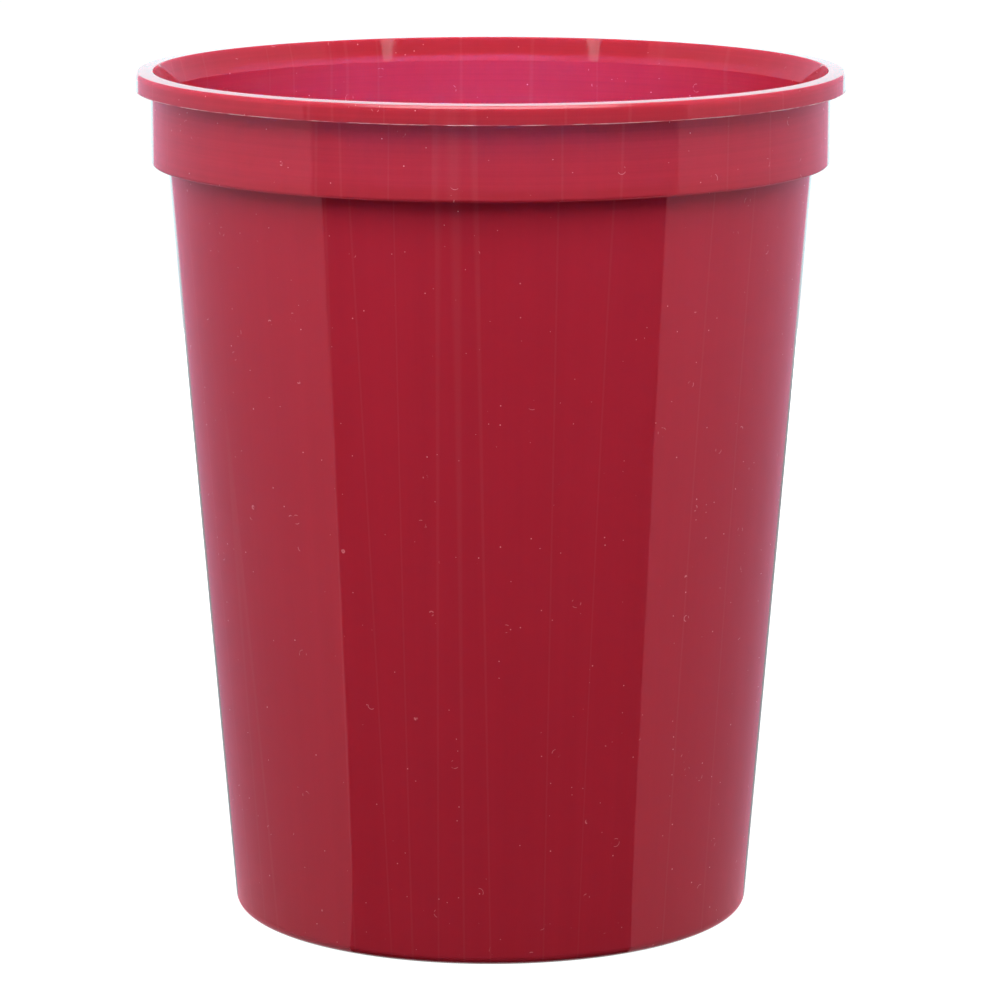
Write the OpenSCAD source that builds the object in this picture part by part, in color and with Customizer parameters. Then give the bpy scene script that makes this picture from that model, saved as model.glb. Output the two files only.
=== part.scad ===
// Tapered stadium cup: one injection-moulded polypropylene shell.
// Millimetres, Z up. The origin is the centre of the foot, on the surface that the cup stands on.
// The whole cup is one profile, turned about Z.

/* [Overall] */
// Height from the foot to the top of the rim
cup_h = 111.1; // [90:0.1:140]

/* [Wall] */
// Thickness of the body and collar walls, square to the wall
wall = 1.2; // [0.8:0.05:1.8]
// Thickness of the floor of the cup
floor_t = 1.4; // [1:0.1:2.5]

/* [Rim] */
// Outside diameter of the rim bead
rim_d = 92; // [82:0.5:110]
// Height of the rim bead, from its sharp lower edge to its top
rim_h = 2.5; // [2:0.1:4]
// How far the rim bead stands out past the collar
rim_out = 1.9; // [1:0.05:3]
// Width of the rim's top, from its outside to its inner edge
rim_w = 2.2; // [2:0.05:2.8]
// How far the shoulder at the top of the rim's face leans in
shoulder_w = 0.2; // [0.1:0.05:0.4]
// Height of that shoulder
shoulder_h = 0.5; // [0.3:0.05:0.8]
// How far the rim's top falls from its inner edge to the shoulder
rim_fall = 0.1; // [0.05:0.05:0.3]
// Rounding of the rim's two top edges
lip_r = 0.15; // [0.1:0.05:0.2]
// Height over which the mouth flares out to the rim's inner edge
mouth_h = 3.2; // [2:0.1:4]

/* [Collar] */
// Height of the straight collar, from its lower edge to the rim's lower edge
collar_h = 9.6; // [6:0.1:16]
// Width of the ledge by which the collar stands out past the body
ledge_w = 2.15; // [1.6:0.05:3]
// Rounding of the collar's lower outer edge
collar_edge_r = 0.4; // [0.2:0.1:1.2]
// Rounding of the two corners of the step inside, behind the ledge
step_in_r = 0.6; // [0.2:0.1:0.7]

/* [Body] */
// Outside diameter that the taper reaches at the foot plane
base_d = 67.7; // [55:0.1:74]
// Rounding of the outer corner between body and foot
base_corner_r = 1.4; // [0.5:0.1:3]
// Rounding of the corner between the inner wall and the floor
floor_corner_r = 2.4; // [0.5:0.1:4]

/* [Foot] */
// Width of the flat ring that the cup stands on
foot_w = 2.2; // [1:0.1:4]
// Depth of the recess inside the foot ring
recess_h = 1.6; // [0.8:0.1:4]
// Rounding of the recess's two corners
recess_r = 0.5; // [0.1:0.1:0.7]

/* [Gate] */
// Diameter of the gate mark in the middle of the underside
gate_d = 4; // [2:0.5:8]
// Height of the gate mark
gate_h = 0.4; // [0.2:0.1:0.7]

/* [Hidden] */

// Straight pieces that stand for each rounded corner of the profile
CORNER_STEPS = 8;
// Sides of the turned shape in the preview
TURN_FN = 180;
// Rounding of the small inside corners under the rim and under the collar
CREASE_R = 0.3;
// Rounding of the shallow corner at the foot of the shoulder
SHOULDER_R = 1;
// Rounding of the shallow corner at the foot of the flare
FLARE_R = 0.3;

rim_r = rim_d / 2;
collar_r = rim_r - rim_out;
body_top_r = collar_r - ledge_w;
base_r = base_d / 2;
gate_r = gate_d / 2;

rim_z = cup_h - rim_h;
ledge_z = rim_z - collar_h;

// The taper leans out by this angle from the vertical
taper = atan((body_top_r - base_r) / ledge_z);
// The body's wall, measured along the radius
wall_across = wall / cos(taper);

collar_in_r = collar_r - wall;
// The step inside the cup lies one wall above the ledge outside it
step_z = ledge_z + wall;
floor_z = recess_h + floor_t;

// Radii of the recess's wall, which leans in by one part in four for the mould
foot_in_r = base_r - base_corner_r - foot_w;
recess_top_r = foot_in_r - recess_h / 4;

// Inside radius of the tapered body at height z
function bore_r(z) = base_r + z * tan(taper) - wall_across;

// Unit vector along v
function unit(v) = v / norm(v);

// Points of the arc of radius r that rounds the corner b, between a and c
function rounded(a, b, c, r) =
    let (
        u = unit(a - b),
        w = unit(c - b),
        half = acos(u * w) / 2,
        centre = b + unit(u + w) * r / sin(half),
        from = b + u * r / tan(half) - centre,
        to = b + w * r / tan(half) - centre,
        start = atan2(from.y, from.x),
        turn = atan2(to.y, to.x) - start,
        sweep = turn > 180 ? turn - 360 : turn < -180 ? turn + 360 : turn
    )
    [for (i = [0 : CORNER_STEPS])
        centre + r * [cos(start + sweep * i / CORNER_STEPS), sin(start + sweep * i / CORNER_STEPS)]];

// Corners of the profile as [radius, height, rounding], from the gate out, up and back down inside
CORNERS = [
    [0, recess_h - gate_h, 0],
    [gate_r, recess_h - gate_h, 0],
    [gate_r, recess_h, 0],
    [recess_top_r, recess_h, recess_r],
    [foot_in_r, 0, recess_r],
    [base_r, 0, base_corner_r],
    [body_top_r, ledge_z, CREASE_R],
    [collar_r, ledge_z, collar_edge_r],
    [collar_r, rim_z, CREASE_R],
    [rim_r, rim_z, 0],
    [rim_r, cup_h - rim_fall - shoulder_h, SHOULDER_R],
    [rim_r - shoulder_w, cup_h - rim_fall, lip_r],
    [rim_r - rim_w, cup_h, lip_r],
    [collar_in_r, cup_h - mouth_h, FLARE_R],
    [collar_in_r, step_z, step_in_r],
    [bore_r(step_z), step_z, step_in_r],
    [bore_r(floor_z), floor_z, floor_corner_r],
    [0, floor_z, 0],
];

// The corner at place i as a point, counted round the profile
function corner(i) =
    let (c = CORNERS[(i + len(CORNERS)) % len(CORNERS)])
    [c[0], c[1]];

// The profile's outline, with each rounded corner drawn as its arc
function outline() = [
    for (i = [0 : len(CORNERS) - 1])
        each CORNERS[i][2] > 0
            ? rounded(corner(i - 1), corner(i), corner(i + 1), CORNERS[i][2])
            : [corner(i)]
];

module cup() {
    color("#A81F30")
        rotate_extrude($fn = TURN_FN)
            polygon(outline());
}

cup();
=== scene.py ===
"""A glossy dark red stadium cup, moulded in polypropylene, in a white studio."""

import math

import bmesh
import bpy
from mathutils import Matrix, Vector, noise


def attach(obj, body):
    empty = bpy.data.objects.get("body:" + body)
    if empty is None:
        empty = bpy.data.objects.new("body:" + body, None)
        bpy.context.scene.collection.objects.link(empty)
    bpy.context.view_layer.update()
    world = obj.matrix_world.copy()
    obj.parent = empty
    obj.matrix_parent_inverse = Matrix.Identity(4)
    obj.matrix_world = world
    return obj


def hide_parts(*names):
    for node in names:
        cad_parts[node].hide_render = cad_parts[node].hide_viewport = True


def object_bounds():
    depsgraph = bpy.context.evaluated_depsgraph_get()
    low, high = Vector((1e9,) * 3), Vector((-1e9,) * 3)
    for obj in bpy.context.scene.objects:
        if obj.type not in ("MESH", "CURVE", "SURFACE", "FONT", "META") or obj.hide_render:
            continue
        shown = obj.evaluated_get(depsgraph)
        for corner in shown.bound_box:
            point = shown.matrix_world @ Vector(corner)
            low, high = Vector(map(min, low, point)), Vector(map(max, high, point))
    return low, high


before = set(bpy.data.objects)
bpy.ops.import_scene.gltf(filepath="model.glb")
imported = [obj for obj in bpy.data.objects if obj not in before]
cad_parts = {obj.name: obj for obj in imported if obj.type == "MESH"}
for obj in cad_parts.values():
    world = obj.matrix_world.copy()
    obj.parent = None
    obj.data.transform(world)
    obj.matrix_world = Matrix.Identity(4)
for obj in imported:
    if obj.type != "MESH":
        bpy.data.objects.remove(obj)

MM = 0.001
cad_low, cad_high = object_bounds()

# The cup's sizes in millimetres. Its height and rim come from the frame.
CUP_H = cad_high[2] / MM
RIM_R = (cad_high[0] - cad_low[0]) / 2 / MM
RIM_H = 2.5
RIM_OUT = 1.9
RIM_W = 2.2
SHOULDER_W = 0.2
SHOULDER_H = 0.5
SHOULDER_R = 1.0
RIM_FALL = 0.1
LIP_R = 0.15
MOUTH_H = 3.2
FLARE_R = 0.3
COLLAR_H = 9.6
LEDGE_W = 2.15
COLLAR_EDGE_R = 0.4
STEP_IN_R = 0.6
CREASE_R = 0.3
WALL = 1.2
BASE_R = 33.85
BASE_CORNER_R = 1.4
FLOOR_CORNER_R = 2.4
FLOOR_T = 1.4
FOOT_W = 2.2
RECESS_H = 1.6
RECESS_R = 0.5
GATE_R = 2.0
GATE_H = 0.4

# The parting flash on the rim's sharp lower edge: how tall its foot is, how far it stands out at most,
# and how far apart its thick and thin places lie
FLASH_H = 0.12
FLASH_OUT = 0.14
FLASH_STEP = 1.1

# Edges that turn by more than this, in degrees, stay sharp
SHARP_TURN = 30

TURN_STEPS = 512
CORNER_STEPS = 8


def cup_corners():
    """Corners of the cup's section as (radius, height, rounding), in millimetres, round its outline."""
    collar_r = RIM_R - RIM_OUT
    body_top_r = collar_r - LEDGE_W
    rim_z = CUP_H - RIM_H
    ledge_z = rim_z - COLLAR_H
    step_z = ledge_z + WALL
    floor_z = RECESS_H + FLOOR_T
    lean = (body_top_r - BASE_R) / ledge_z
    wall_across = WALL * math.hypot(1, lean)
    foot_in_r = BASE_R - BASE_CORNER_R - FOOT_W
    return [
        (0, RECESS_H - GATE_H, 0),
        (GATE_R, RECESS_H - GATE_H, 0),
        (GATE_R, RECESS_H, 0),
        (foot_in_r - RECESS_H / 4, RECESS_H, RECESS_R),
        (foot_in_r, 0, RECESS_R),
        (BASE_R, 0, BASE_CORNER_R),
        (body_top_r, ledge_z, CREASE_R),
        (collar_r, ledge_z, COLLAR_EDGE_R),
        (collar_r, rim_z, CREASE_R),
        (RIM_R, rim_z, 0),
        (RIM_R + FLASH_OUT, rim_z + FLASH_H / 3, 0),
        (RIM_R, rim_z + FLASH_H, 0),
        (RIM_R, CUP_H - RIM_FALL - SHOULDER_H, SHOULDER_R),
        (RIM_R - SHOULDER_W, CUP_H - RIM_FALL, LIP_R),
        (RIM_R - RIM_W, CUP_H, LIP_R),
        (collar_r - WALL, CUP_H - MOUTH_H, FLARE_R),
        (collar_r - WALL, step_z, STEP_IN_R),
        (BASE_R + step_z * lean - wall_across, step_z, STEP_IN_R),
        (BASE_R + floor_z * lean - wall_across, floor_z, FLOOR_CORNER_R),
        (0, floor_z, 0),
    ]


def new_piece(name, bm):
    """A mesh object made from a bmesh, which lies where its points are."""
    mesh = bpy.data.meshes.new(name)
    bm.to_mesh(mesh)
    bm.free()
    piece = bpy.data.objects.new(name, mesh)
    bpy.context.scene.collection.objects.link(piece)
    return piece


def wear_flash(bm):
    """Thins the flash out along its edge, so that it stands out in some places and is gone in others."""
    tip_r = (RIM_R + FLASH_OUT) * MM
    for vert in bm.verts:
        if vert.co.xy.length > tip_r - 0.01 * MM:
            side = vert.co.xy.normalized()
            coarse = noise.noise(Vector((side.x, side.y, 0)) * RIM_R / (4 * FLASH_STEP))
            fine = noise.noise(Vector((side.x, side.y, 1)) * RIM_R / FLASH_STEP)
            share = min(max(0.35 + 0.9 * coarse + 0.7 * fine, 0.06), 1)
            vert.co.xy = side * (RIM_R + FLASH_OUT * share) * MM


def make_cup():
    """The cup's section, with its corners bevelled round, spun about Z."""
    bm = bmesh.new()
    corners = cup_corners()
    places = [Vector((r * MM, 0, z * MM)) for r, z, _ in corners]
    points = [bm.verts.new(place) for place in places]
    bm.faces.new(points)
    for i, (_, _, rounding) in enumerate(corners):
        if rounding > 0:
            back = places[i - 1] - places[i]
            on = places[(i + 1) % len(places)] - places[i]
            bmesh.ops.bevel(
                bm, geom=[points[i]], offset=rounding * MM / math.tan(back.angle(on) / 2),
                offset_type="OFFSET", affect="VERTICES", segments=CORNER_STEPS, profile=0.5, material=-1,
            )
    bmesh.ops.delete(bm, geom=bm.faces[:], context="FACES_ONLY")
    on_axis = [edge for edge in bm.edges if max(vert.co.x for vert in edge.verts) < 0.001 * MM]
    bmesh.ops.delete(bm, geom=on_axis, context="EDGES")
    bmesh.ops.spin(
        bm, geom=bm.verts[:] + bm.edges[:], cent=(0, 0, 0), axis=(0, 0, 1), dvec=(0, 0, 0),
        angle=math.tau, steps=TURN_STEPS, use_merge=True, use_duplicate=False,
    )
    bmesh.ops.remove_doubles(bm, verts=bm.verts[:], dist=0.002 * MM)
    bmesh.ops.recalc_face_normals(bm, faces=bm.faces[:])
    wear_flash(bm)
    for face in bm.faces:
        face.smooth = True
    for edge in bm.edges:
        edge.smooth = edge.calc_face_angle() < math.radians(SHARP_TURN)
    piece = new_piece("red_cup", bm)
    # The long walls set the shading, so that the small bevels don't bend their reflections
    even = piece.modifiers.new("even_shading", "WEIGHTED_NORMAL")
    even.mode = "FACE_AREA"
    even.weight = 100
    even.keep_sharp = True
    return piece


cup = make_cup()
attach(cup, "root")
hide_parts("cup")


def linear(code, alpha=1.0):
    """An sRGB hex colour as the linear values that the nodes take."""
    shares = [int(code[i:i + 2], 16) / 255 for i in (1, 3, 5)]
    return [c / 12.92 if c <= 0.04045 else ((c + 0.055) / 1.055) ** 2.4 for c in shares] + [alpha]


def add_node(tree, kind, links=(), **settings):
    """Adds a node. settings set its own fields; links are (input, value or socket) pairs."""
    node = tree.nodes.new(kind)
    for name, value in settings.items():
        setattr(node, name, value)
    for name, value in links:
        if isinstance(value, bpy.types.NodeSocket):
            tree.links.new(value, node.inputs[name])
        else:
            node.inputs[name].default_value = value
    return node


def new_material(name):
    """An empty node material, with its tree and its output node."""
    material = bpy.data.materials.new(name)
    material.use_nodes = True
    tree = material.node_tree
    tree.nodes.clear()
    return material, tree, tree.nodes.new("ShaderNodeOutputMaterial")


# How the wear and the mould's marks are spaced on the real cup, in millimetres. The specks are about a tenth of
# a millimetre across on the cup, and are drawn twice as wide, so that they show.
SPECK_CELL = 1.3
SPECK_R = 0.105
SCRATCH_CELL = 5.0
SCRATCH_R = 0.6
SCRATCH_W = 0.05
DRAG_LINE_GAP = 9.0
DRAW_MARK_GAP = 3.0
TURNING_MARK_GAP = 0.35
MARK_DEPTH = 0.003
RUB_SIZE = 6.0


def pale_specks(tree, in_mm):
    """1 in small dots that lie here and there on the surface, each of its own size."""
    cells = add_node(tree, "ShaderNodeTexVoronoi", [("Vector", in_mm), ("Scale", 1 / SPECK_CELL)])
    draw = add_node(tree, "ShaderNodeSeparateColor", [(0, cells.outputs["Color"])])
    reach = add_node(tree, "ShaderNodeMapRange", [
        (0, draw.outputs[0]), (1, 0.2), (2, 1.0), (3, 0.001), (4, SPECK_R / SPECK_CELL),
    ], interpolation_type="SMOOTHSTEP")
    share = add_node(tree, "ShaderNodeMath", [
        (0, cells.outputs["Distance"]), (1, reach.outputs[0]),
    ], operation="DIVIDE")
    return add_node(tree, "ShaderNodeMapRange", [
        (0, share.outputs[0]), (1, 0.5), (2, 1.0), (3, 1.0), (4, 0.0),
    ]).outputs[0]


def curved_scratches(tree, in_mm):
    """1 in short hairline arcs: rings round scattered points, of which noise leaves only a part."""
    cells = add_node(tree, "ShaderNodeTexVoronoi", [("Vector", in_mm), ("Scale", 1 / SCRATCH_CELL)])
    off = add_node(tree, "ShaderNodeMath", [
        (0, cells.outputs["Distance"]), (1, SCRATCH_R / SCRATCH_CELL),
    ], operation="SUBTRACT")
    far = add_node(tree, "ShaderNodeMath", [(0, off.outputs[0])], operation="ABSOLUTE")
    ring = add_node(tree, "ShaderNodeMapRange", [
        (0, far.outputs[0]), (1, 0.0), (2, SCRATCH_W / SCRATCH_CELL), (3, 1.0), (4, 0.0),
    ])
    patchy = add_node(tree, "ShaderNodeTexNoise", [("Vector", in_mm), ("Scale", 0.8 / SCRATCH_R), ("Detail", 1.0)])
    left = add_node(tree, "ShaderNodeMapRange", [
        (0, patchy.outputs[0]), (1, 0.56), (2, 0.62), (3, 0.0), (4, 0.7),
    ])
    return add_node(tree, "ShaderNodeMath", [
        (0, ring.outputs[0]), (1, left.outputs[0]),
    ], operation="MULTIPLY").outputs[0]


def whitened_flash_and_painted_highlight(tree, in_mm):
    """1 on the thin flash outside the rim's face, which has gone pale where it was torn; the pale tint is also a
    painted highlight along the rim's lower edge.
    """
    flat = add_node(tree, "ShaderNodeVectorMath", [(0, in_mm), (1, (1, 1, 0))], operation="MULTIPLY")
    out = add_node(tree, "ShaderNodeVectorMath", [(0, flat.outputs[0])], operation="LENGTH")
    return add_node(tree, "ShaderNodeMapRange", [
        (0, out.outputs["Value"]), (1, RIM_R), (2, RIM_R + FLASH_OUT / 2), (3, 0.0), (4, 0.8),
    ]).outputs[0]


def down_the_wall(tree, in_mm):
    """The place on the cup in millimetres, with its height pressed together, so that patterns run down the wall."""
    flat = add_node(tree, "ShaderNodeVectorMath", [(0, in_mm), (1, (1, 1, 0))], operation="MULTIPLY")
    round_it = add_node(tree, "ShaderNodeVectorMath", [(0, flat.outputs[0])], operation="NORMALIZE")
    wide = add_node(tree, "ShaderNodeVectorMath", [(0, round_it.outputs[0]), ("Scale", RIM_R)], operation="SCALE")
    down = add_node(tree, "ShaderNodeVectorMath", [(0, in_mm), (1, (0, 0, 0.02))], operation="MULTIPLY")
    return add_node(tree, "ShaderNodeVectorMath", [
        (0, wide.outputs[0]), (1, down.outputs[0]),
    ], operation="ADD").outputs[0]


def drag_lines(tree, in_mm):
    """1 on a few hairlines down the wall, where the cup dragged along the mould as it came out."""
    swing = add_node(tree, "ShaderNodeTexNoise", [
        ("Vector", down_the_wall(tree, in_mm)), ("Scale", 1 / DRAG_LINE_GAP), ("Detail", 0.0),
    ])
    off = add_node(tree, "ShaderNodeMath", [(0, swing.outputs[0]), (1, 0.5)], operation="SUBTRACT")
    far = add_node(tree, "ShaderNodeMath", [(0, off.outputs[0])], operation="ABSOLUTE")
    return add_node(tree, "ShaderNodeMapRange", [
        (0, far.outputs[0]), (1, 0.004), (2, 0.012), (3, 1.0), (4, 0.0),
    ]).outputs[0]


def draw_marks(tree, in_mm):
    """Faint marks that run down the wall, where the cup was drawn off its core, from about -1 to 1."""
    streaks = add_node(tree, "ShaderNodeTexNoise", [
        ("Vector", down_the_wall(tree, in_mm)), ("Scale", 1 / DRAW_MARK_GAP), ("Detail", 4.0), ("Roughness", 0.7),
    ])
    return add_node(tree, "ShaderNodeMapRange", [
        (0, streaks.outputs[0]), (1, 0.3), (2, 0.7), (3, -1.0), (4, 1.0),
    ]).outputs[0]


def turning_marks(tree, in_mm):
    """Faint marks round the collar, which the lathe left in the mould, from about -1 to 1. 0 below the collar."""
    level = add_node(tree, "ShaderNodeVectorMath", [(0, in_mm), (1, (0.006, 0.006, 1))], operation="MULTIPLY")
    lines = add_node(tree, "ShaderNodeTexNoise", [
        ("Vector", level.outputs[0]), ("Scale", 1 / TURNING_MARK_GAP), ("Detail", 2.0),
    ])
    swing = add_node(tree, "ShaderNodeMapRange", [(0, lines.outputs[0]), (1, 0.3), (2, 0.7), (3, -1.0), (4, 1.0)])
    height = add_node(tree, "ShaderNodeSeparateXYZ", [(0, in_mm)])
    on_collar = add_node(tree, "ShaderNodeMath", [
        (0, height.outputs["Z"]), (1, CUP_H - RIM_H - COLLAR_H),
    ], operation="GREATER_THAN")
    return add_node(tree, "ShaderNodeMath", [
        (0, swing.outputs[0]), (1, on_collar.outputs[0]),
    ], operation="MULTIPLY").outputs[0]


def polypropylene():
    """Red polypropylene, injection moulded: glossy, and thin enough to let some light through.

    The polished mould gives a skin that mirrors the studio sharply, and its own faint marks. Handling has left
    pale specks and hairlines."""
    material, tree, output = new_material("moulded_polypropylene")
    place = add_node(tree, "ShaderNodeTexCoord").outputs["Object"]
    in_mm = add_node(tree, "ShaderNodeVectorMath", [(0, place), ("Scale", 1 / MM)], operation="SCALE").outputs[0]
    dots_or_hairs = add_node(tree, "ShaderNodeMath", [
        (0, pale_specks(tree, in_mm)), (1, curved_scratches(tree, in_mm)),
    ], operation="MAXIMUM")
    # Pale specks and hairlines are wear; the pale flash is partly whitened plastic and partly a painted highlight along
    # the rim's lower edge.
    pale = add_node(tree, "ShaderNodeMath", [
        (0, dots_or_hairs.outputs[0]), (1, whitened_flash_and_painted_highlight(tree, in_mm)),
    ], operation="MAXIMUM")
    paled = add_node(tree, "ShaderNodeMath", [
        (0, drag_lines(tree, in_mm)), (1, 0.03), (2, pale.outputs[0]),
    ], operation="MULTIPLY_ADD")
    worn_and_painted_highlight = add_node(tree, "ShaderNodeMix", [
        (0, paled.outputs[0]), (6, linear("#B2283A")), (7, linear("#F0A6AE")),
    ], data_type="RGBA")
    drawn = add_node(tree, "ShaderNodeMath", [
        (0, draw_marks(tree, in_mm)), (1, 0.03), (2, 1.0),
    ], operation="MULTIPLY_ADD")
    marked = add_node(tree, "ShaderNodeMath", [
        (0, turning_marks(tree, in_mm)), (1, 0.05), (2, drawn.outputs[0]),
    ], operation="MULTIPLY_ADD")
    toned = add_node(tree, "ShaderNodeVectorMath", [
        (0, worn_and_painted_highlight.outputs[2]), ("Scale", marked.outputs[0]),
    ], operation="SCALE")
    relief = add_node(tree, "ShaderNodeBump", [
        ("Strength", 1.0), ("Distance", MARK_DEPTH * MM), ("Height", marked.outputs[0]),
    ])
    rubbed = add_node(tree, "ShaderNodeTexNoise", [("Vector", in_mm), ("Scale", 1 / RUB_SIZE), ("Detail", 3.0)])
    dulled = add_node(tree, "ShaderNodeMapRange", [(0, pale.outputs[0]), (3, 0.025), (4, 0.3)])
    roughness = add_node(tree, "ShaderNodeMath", [
        (0, rubbed.outputs[0]), (1, 0.02), (2, dulled.outputs[0]),
    ], operation="MULTIPLY_ADD")
    shader = add_node(tree, "ShaderNodeBsdfPrincipled", [
        ("Base Color", toned.outputs[0]),
        ("Roughness", roughness.outputs[0]),
        ("Normal", relief.outputs[0]),
        ("IOR", 1.49),
        ("Subsurface Weight", 1.0),
        ("Subsurface Radius", (1.0, 1.2, 1.42)),
        ("Subsurface Scale", 3.0 * MM),
    ])
    tree.links.new(shader.outputs["BSDF"], output.inputs["Surface"])
    return material


cup.data.materials.append(polypropylene())

scene = bpy.context.scene


AIM = Vector((0, 0, 0.08))


def add_camera():
    camera = bpy.data.objects.new("camera", bpy.data.cameras.new("camera"))
    scene.collection.objects.link(camera)
    camera.data.lens = 176.39
    camera.data.sensor_width = 36.0
    camera.data.shift_x = 0.0094
    camera.location = (0, -0.6354, 0.1738)
    camera.rotation_euler = (math.radians(79.324), 0, 0)
    scene.camera = camera


def add_softbox(name, place, width, height, strength):
    """A rectangular area light at place, turned to the cup. It isn't seen itself, and the cards do its mirroring."""
    light = bpy.data.lights.new(name, "AREA")
    light.shape = "RECTANGLE"
    light.size = width
    light.size_y = height
    light.energy = strength
    lamp = bpy.data.objects.new(name, light)
    scene.collection.objects.link(lamp)
    lamp.location = place
    lamp.rotation_euler = (AIM - Vector(place)).to_track_quat("-Z", "Y").to_euler()
    lamp.visible_camera = False
    lamp.visible_glossy = False


def seen_directly(tree):
    """1 for rays from the camera, a reflection or a transmission, and 0 for the light that falls on things."""
    path = add_node(tree, "ShaderNodeLightPath")
    first = add_node(tree, "ShaderNodeMath", operation="MAXIMUM")
    tree.links.new(path.outputs["Is Camera Ray"], first.inputs[0])
    tree.links.new(path.outputs["Is Glossy Ray"], first.inputs[1])
    second = add_node(tree, "ShaderNodeMath", operation="MAXIMUM")
    tree.links.new(first.outputs[0], second.inputs[0])
    tree.links.new(path.outputs["Is Transmission Ray"], second.inputs[1])
    return second.outputs[0]


def light_world():
    """White where it is seen, and a soft fill where it only lights."""
    world = bpy.data.worlds.new("studio")
    scene.world = world
    world.use_nodes = True
    tree = world.node_tree
    tree.nodes.clear()
    output = tree.nodes.new("ShaderNodeOutputWorld")
    strength = add_node(tree, "ShaderNodeMapRange", [("Value", seen_directly(tree)), ("To Min", 0.27), ("To Max", 1.0)])
    shader = add_node(tree, "ShaderNodeBackground", [("Color", linear("#FFFFFF")), ("Strength", strength.outputs[0])])
    tree.links.new(shader.outputs[0], output.inputs["Surface"])


def make_floor():
    """A pale floor that shows white and keeps the cup's soft shadow."""
    bm = bmesh.new()
    bmesh.ops.create_circle(bm, cap_ends=True, segments=96, radius=3.0)
    floor = new_piece("studio_floor", bm)
    material, tree, output = new_material("matt_white_paper")
    paper = add_node(tree, "ShaderNodeBsdfDiffuse", [("Color", linear("#787878"))])
    glow = add_node(tree, "ShaderNodeEmission", [("Color", linear("#FFFFFF"))])
    level = add_node(tree, "ShaderNodeMath", operation="MULTIPLY")
    tree.links.new(seen_directly(tree), level.inputs[0])
    level.inputs[1].default_value = 0.98
    tree.links.new(level.outputs[0], glow.inputs["Strength"])
    both = add_node(tree, "ShaderNodeAddShader")
    tree.links.new(paper.outputs[0], both.inputs[0])
    tree.links.new(glow.outputs[0], both.inputs[1])
    tree.links.new(both.outputs[0], output.inputs["Surface"])
    floor.data.materials.append(material)


def only_reflect(card):
    """Leaves a card to the reflections alone, so that it lights nothing and hides nothing."""
    card.visible_camera = False
    card.visible_diffuse = False
    card.visible_transmission = False
    card.visible_volume_scatter = False
    card.visible_shadow = False


def spin_arc(bm, radius, height, start, end, steps):
    """An arc of edges about Z. Its angles are in degrees, counted from the front."""
    turned = Matrix.Rotation(math.radians(start - 90), 3, "Z")
    first = bm.verts.new(turned @ Vector((radius, 0, height)))
    spun = bmesh.ops.spin(
        bm, geom=[first], cent=(0, 0, 0), axis=(0, 0, 1), dvec=(0, 0, 0),
        angle=math.radians(end - start), steps=steps, use_merge=False, use_duplicate=False,
    )
    return [edge for vert in [first] + spun["geom_last"] for edge in vert.link_edges]


def make_card(name, at_foot, far_off, top, front, back, along):
    """A card that only reflections show: a fan just over the floor, from the foot out, and a curved wall round it.

    at_foot and far_off are its first and last angle there, in degrees, counted from the front. front and back are
    its (colour, level) at the front and at the back of the studio. along gives how that fades in, as
    (radius, share) at two radii in metres."""
    near = 0.0335
    far = 1.5
    over = 0.0003
    steps = 48
    bm = bmesh.new()
    for radius, height, (start, end) in ((near, over, at_foot), (far, over, far_off), (far, top, far_off)):
        spin_arc(bm, radius, height, start, end, steps)
    arcs = [[edge for edge in bm.edges[i * steps:(i + 1) * steps]] for i in range(3)]
    bmesh.ops.bridge_loops(bm, edges=arcs[0] + arcs[1])
    bmesh.ops.bridge_loops(bm, edges=arcs[1] + arcs[2])
    card = new_piece(name, bm)
    material, tree, output = new_material(name + "_paint")
    place = add_node(tree, "ShaderNodeTexCoord").outputs["Object"]
    reach = add_node(tree, "ShaderNodeVectorMath", [(0, place)], operation="LENGTH")
    aim = add_node(tree, "ShaderNodeVectorMath", [(0, place)], operation="NORMALIZE")
    parts = add_node(tree, "ShaderNodeSeparateXYZ", [(0, aim.outputs[0])])
    turned = add_node(tree, "ShaderNodeMapRange", [
        (0, parts.outputs["Y"]), (1, -0.6), (2, 0.9), (3, 0.0), (4, 1.0),
    ])
    colour = add_node(tree, "ShaderNodeMix", [
        (0, turned.outputs[0]), (6, linear(front[0])), (7, linear(back[0])),
    ], data_type="RGBA")
    power = add_node(tree, "ShaderNodeMapRange", [(0, turned.outputs[0]), (3, front[1]), (4, back[1])])
    faded = add_node(tree, "ShaderNodeMapRange", [
        (0, reach.outputs["Value"]), (1, along[0][0]), (2, along[1][0]), (3, along[0][1]), (4, along[1][1]),
    ], interpolation_type="SMOOTHSTEP")
    level = add_node(tree, "ShaderNodeMath", [(0, power.outputs[0]), (1, faded.outputs[0])], operation="MULTIPLY")
    shine = add_node(tree, "ShaderNodeEmission", [("Color", colour.outputs[2]), ("Strength", level.outputs[0])])
    tree.links.new(shine.outputs[0], output.inputs["Surface"])
    card.data.materials.append(material)
    only_reflect(card)


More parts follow.
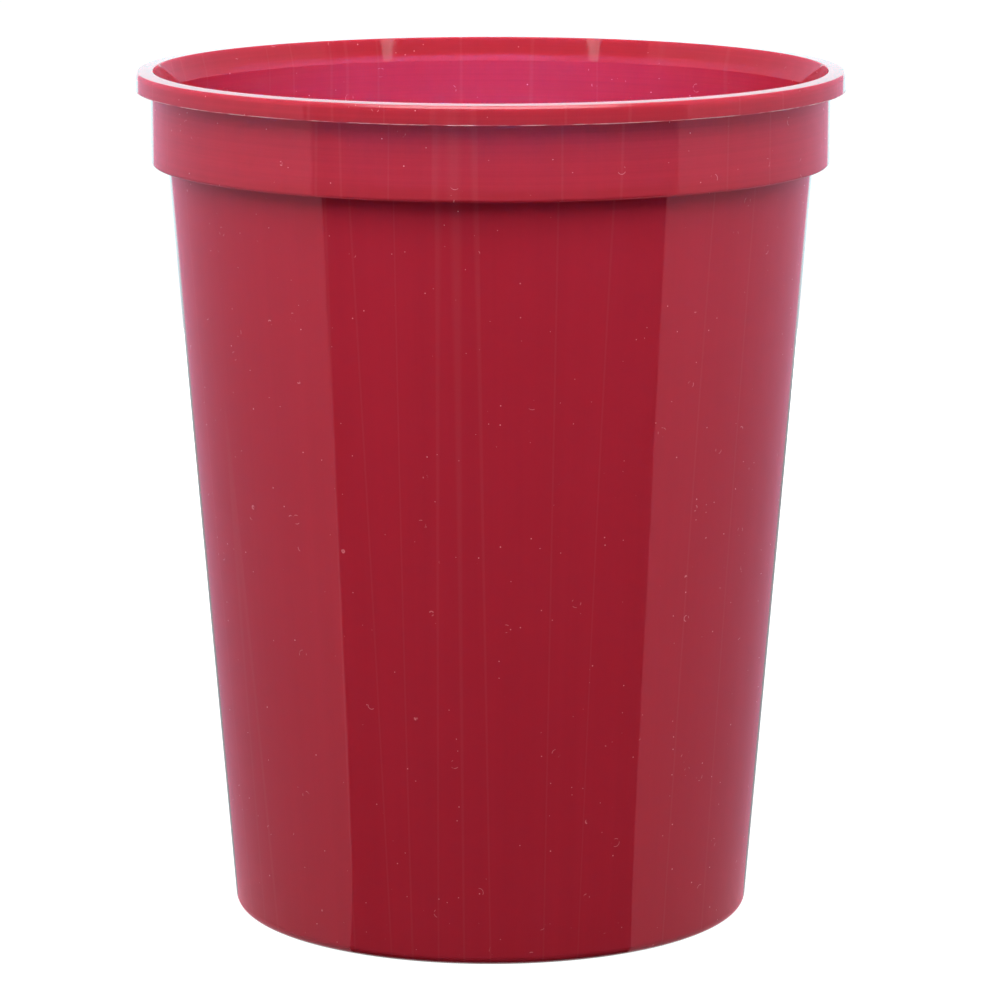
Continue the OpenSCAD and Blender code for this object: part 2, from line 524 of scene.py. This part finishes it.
def make_window():
    """The soft window high in front of the cup, which the rim's rounded shoulder mirrors as a pale band."""
    half_width = 1.3
    bm = bmesh.new()
    bmesh.ops.create_grid(bm, x_segments=1, y_segments=1, size=half_width)
    bmesh.ops.scale(bm, vec=(1, 0.23, 1), verts=bm.verts[:])
    bmesh.ops.rotate(bm, matrix=Matrix.Rotation(math.radians(46), 3, "X"), verts=bm.verts[:])
    bmesh.ops.translate(bm, vec=(0, -0.93, 1.0), verts=bm.verts[:])
    window = new_piece("window", bm)
    material, tree, output = new_material("window_light")
    place = add_node(tree, "ShaderNodeTexCoord").outputs["Object"]
    parts = add_node(tree, "ShaderNodeSeparateXYZ", [(0, place)])
    off = add_node(tree, "ShaderNodeMath", [(0, parts.outputs["X"])], operation="ABSOLUTE")
    level = add_node(tree, "ShaderNodeMapRange", [
        (0, off.outputs[0]), (1, 0.4), (2, half_width), (3, 7.0), (4, 0.3),
    ], interpolation_type="SMOOTHSTEP")
    shine = add_node(tree, "ShaderNodeEmission", [("Color", linear("#FFFFFF")), ("Strength", level.outputs[0])])
    tree.links.new(shine.outputs[0], output.inputs["Surface"])
    window.data.materials.append(material)
    only_reflect(window)


add_camera()
light_world()
make_floor()
SIDE_TINT = ("#FFA5B1", 1.25)
BACK_TINT = ("#FFB7D6", 0.89)
BACKDROP = ("#DDF8FF", 1.55)
make_card("dark_front", (-32.2, 31.8), (-60.8, 64.0), 0.95, SIDE_TINT, SIDE_TINT, ((0.4, 0.01), (0.9, 0.6)))
make_card("grey_card_left", (-32.2, -82), (-60.8, -160), 1.2, SIDE_TINT, BACK_TINT, ((0.04, 0.83), (1.0, 1.3)))
make_card("grey_card_right", (31.8, 82), (64.0, 160), 1.2, SIDE_TINT, BACK_TINT, ((0.04, 0.83), (1.0, 1.3)))
make_card("backdrop", (82, 278), (160, 200), 1.2, BACKDROP, BACKDROP, ((0.3, 0.3), (0.75, 1.0)))
make_window()
add_softbox("key", (0, -0.292, 0.382), 0.3, 0.3, 1.38)
add_softbox("left", (-0.324, -0.118, 0.369), 0.3, 0.3, 1.06)
add_softbox("right", (0.324, -0.118, 0.369), 0.3, 0.3, 0.88)
add_softbox("back", (0, 0.5, 0.097), 0.5, 0.2, 6.4)

scene.view_settings.view_transform = "Standard"
